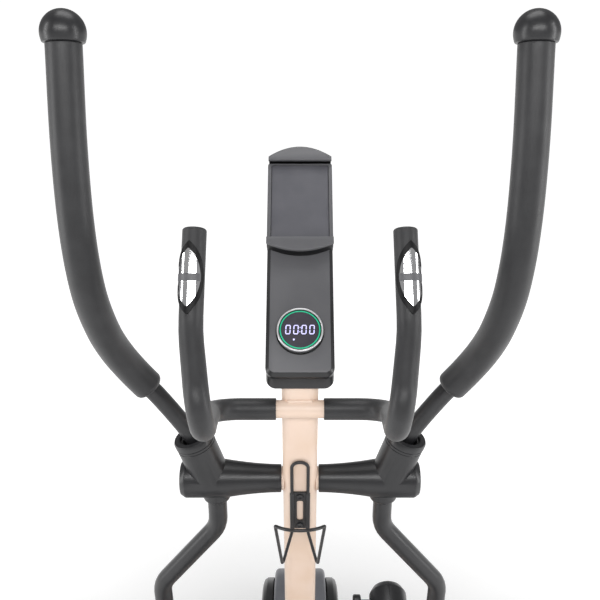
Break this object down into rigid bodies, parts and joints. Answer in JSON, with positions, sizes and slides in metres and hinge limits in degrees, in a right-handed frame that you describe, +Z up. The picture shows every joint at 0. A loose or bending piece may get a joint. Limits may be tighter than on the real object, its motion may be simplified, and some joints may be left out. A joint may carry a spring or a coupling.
{
  "type": "elliptical trainer",
  "caption": "Front-drive elliptical trainer: moving and fixed handlebars, tilted console with phone rest, bottle cage, crank, flywheel and long foot tubes with pedals.",
  "frame": {"origin": "centre of the bounding box on the floor", "axes": "+Z up, +Y forward, the way the user faces, +X to the user's right"},
  "size_m": [0.602, 1.101, 1.6347],
  "materials": {
    "cream_paint": "satin powder coat",
    "black_paint": "satin powder coat",
    "black_plastic": "fine moulded grain",
    "satin_plastic": "satin moulded",
    "grip_foam": "matt closed-cell foam",
    "chrome": "polished",
    "rubber": "matt",
    "plain_steel": "machined",
    "cast_iron": "cast",
    "display_glass": "gloss",
    "board": "lacquered"
  },
  "bodies": {
    "frame": {"base_beam": "cream_paint", "rear_stabiliser": "cream_paint", "front_stabiliser": "cream_paint", "base_post": "cream_paint", "mast": "cream_paint", "fixed_handlebar": "cream_paint", "console_back_shell": "satin_plastic", "console_front_shell": "satin_plastic", "console_board": "board", "display_ring": "chrome", "display_lens": "display_glass", "phone_rest_pad": "satin_plastic", "phone_shelf": "satin_plastic", "bottle_cage": "black_paint", "pivot_axle": "plain_steel", "flywheel_axle": "plain_steel", "drive_belt": "rubber", "magnet_bracket": "cast_iron", "rear_foot_left": "black_plastic", "front_foot_left": "black_plastic", "handlebar_foam_left": "grip_foam", "pulse_bezel_left": "black_plastic", "pulse_plate_left": "chrome", "side_plate_left": "plain_steel", "housing_left": "satin_plastic", "rear_foot_right": "black_plastic", "front_foot_right": "black_plastic", "handlebar_foam_right": "grip_foam", "pulse_bezel_right": "black_plastic", "pulse_plate_right": "chrome", "side_plate_right": "plain_steel", "housing_right": "satin_plastic"},
    "phone_clamp": {"phone_clamp": "satin_plastic"},
    "crank": {"crank_axle": "plain_steel", "drive_pulley": "black_plastic", "crank_arm_left": "black_paint", "crank_arm_right": "black_paint", "crank_disc_left": "black_plastic", "crank_disc_right": "black_plastic"},
    "flywheel": {"flywheel": "cast_iron"},
    "transport_wheel_left": {"transport_wheel_left": "rubber"},
    "swing_left": {"swing_arm_left": "black_paint", "upper_arm_left": "black_paint", "swing_foam_left": "grip_foam", "handle_ball_left": "black_plastic", "pivot_cover_rear_left": "black_plastic", "pivot_cover_front_left": "black_plastic"},
    "foot_left": {"foot_tube_left": "black_paint", "joint_cover_left": "black_plastic", "pedal_left": "satin_plastic"},
    "transport_wheel_right": {"transport_wheel_right": "rubber"},
    "swing_right": {"swing_arm_right": "black_paint", "upper_arm_right": "black_paint", "swing_foam_right": "grip_foam", "handle_ball_right": "black_plastic", "pivot_cover_rear_right": "black_plastic", "pivot_cover_front_right": "black_plastic"},
    "foot_right": {"foot_tube_right": "black_paint", "joint_cover_right": "black_plastic", "pedal_right": "satin_plastic"}
  },
  "joints": [
    {"name": "right_swing", "type": "hinge", "parent": "frame", "child": "swing_right", "pos_m": [0, -0.02448, 0.98], "axis": [1, 0, 0], "range_deg": [-12.8, 12.8]},
    {"name": "left_swing", "type": "hinge", "parent": "frame", "child": "swing_left", "pos_m": [0, -0.02448, 0.98], "axis": [1, 0, 0], "range_deg": [-12.8, 12.8]},
    {"name": "crank_turn", "type": "hinge", "parent": "frame", "child": "crank", "pos_m": [0, 0.28552, 0.3], "axis": [1, 0, 0], "continuous": true},
    {"name": "flywheel_spin", "type": "hinge", "parent": "frame", "child": "flywheel", "pos_m": [0, 0.39552, 0.215], "axis": [1, 0, 0], "continuous": true},
    {"name": "right_foot_hinge", "type": "hinge", "parent": "swing_right", "child": "foot_right", "pos_m": [0.185, -0.17448, 0.32], "axis": [1, 0, 0], "range_deg": [-12.8, 12.8]},
    {"name": "left_foot_hinge", "type": "hinge", "parent": "swing_left", "child": "foot_left", "pos_m": [-0.185, -0.17448, 0.32], "axis": [1, 0, 0], "range_deg": [-12.8, 12.8]},
    {"name": "clamp_slide", "type": "slide", "parent": "frame", "child": "phone_clamp", "axis": [0, 0.7193, 0.6947], "range_m": [0, 0.035], "stiffness_N_per_m": 60, "springref_m": -0.03},
    {"name": "left_wheel_roll", "type": "hinge", "parent": "frame", "child": "transport_wheel_left", "pos_m": [-0.225, 0.52452, 0.0295], "axis": [1, 0, 0], "continuous": true},
    {"name": "right_wheel_roll", "type": "hinge", "parent": "frame", "child": "transport_wheel_right", "pos_m": [0.225, 0.52452, 0.0295], "axis": [1, 0, 0], "continuous": true}
  ],
  "couplings": [
    {"joint": "left_swing", "follows": "right_swing", "ratio": -1},
    {"joint": "crank_turn", "follows": "right_swing", "ratio": -7.0312},
    {"joint": "flywheel_spin", "follows": "right_swing", "ratio": -41.748},
    {"joint": "right_foot_hinge", "follows": "right_swing", "ratio": -1},
    {"joint": "left_foot_hinge", "follows": "right_swing", "ratio": 1}
  ]
}
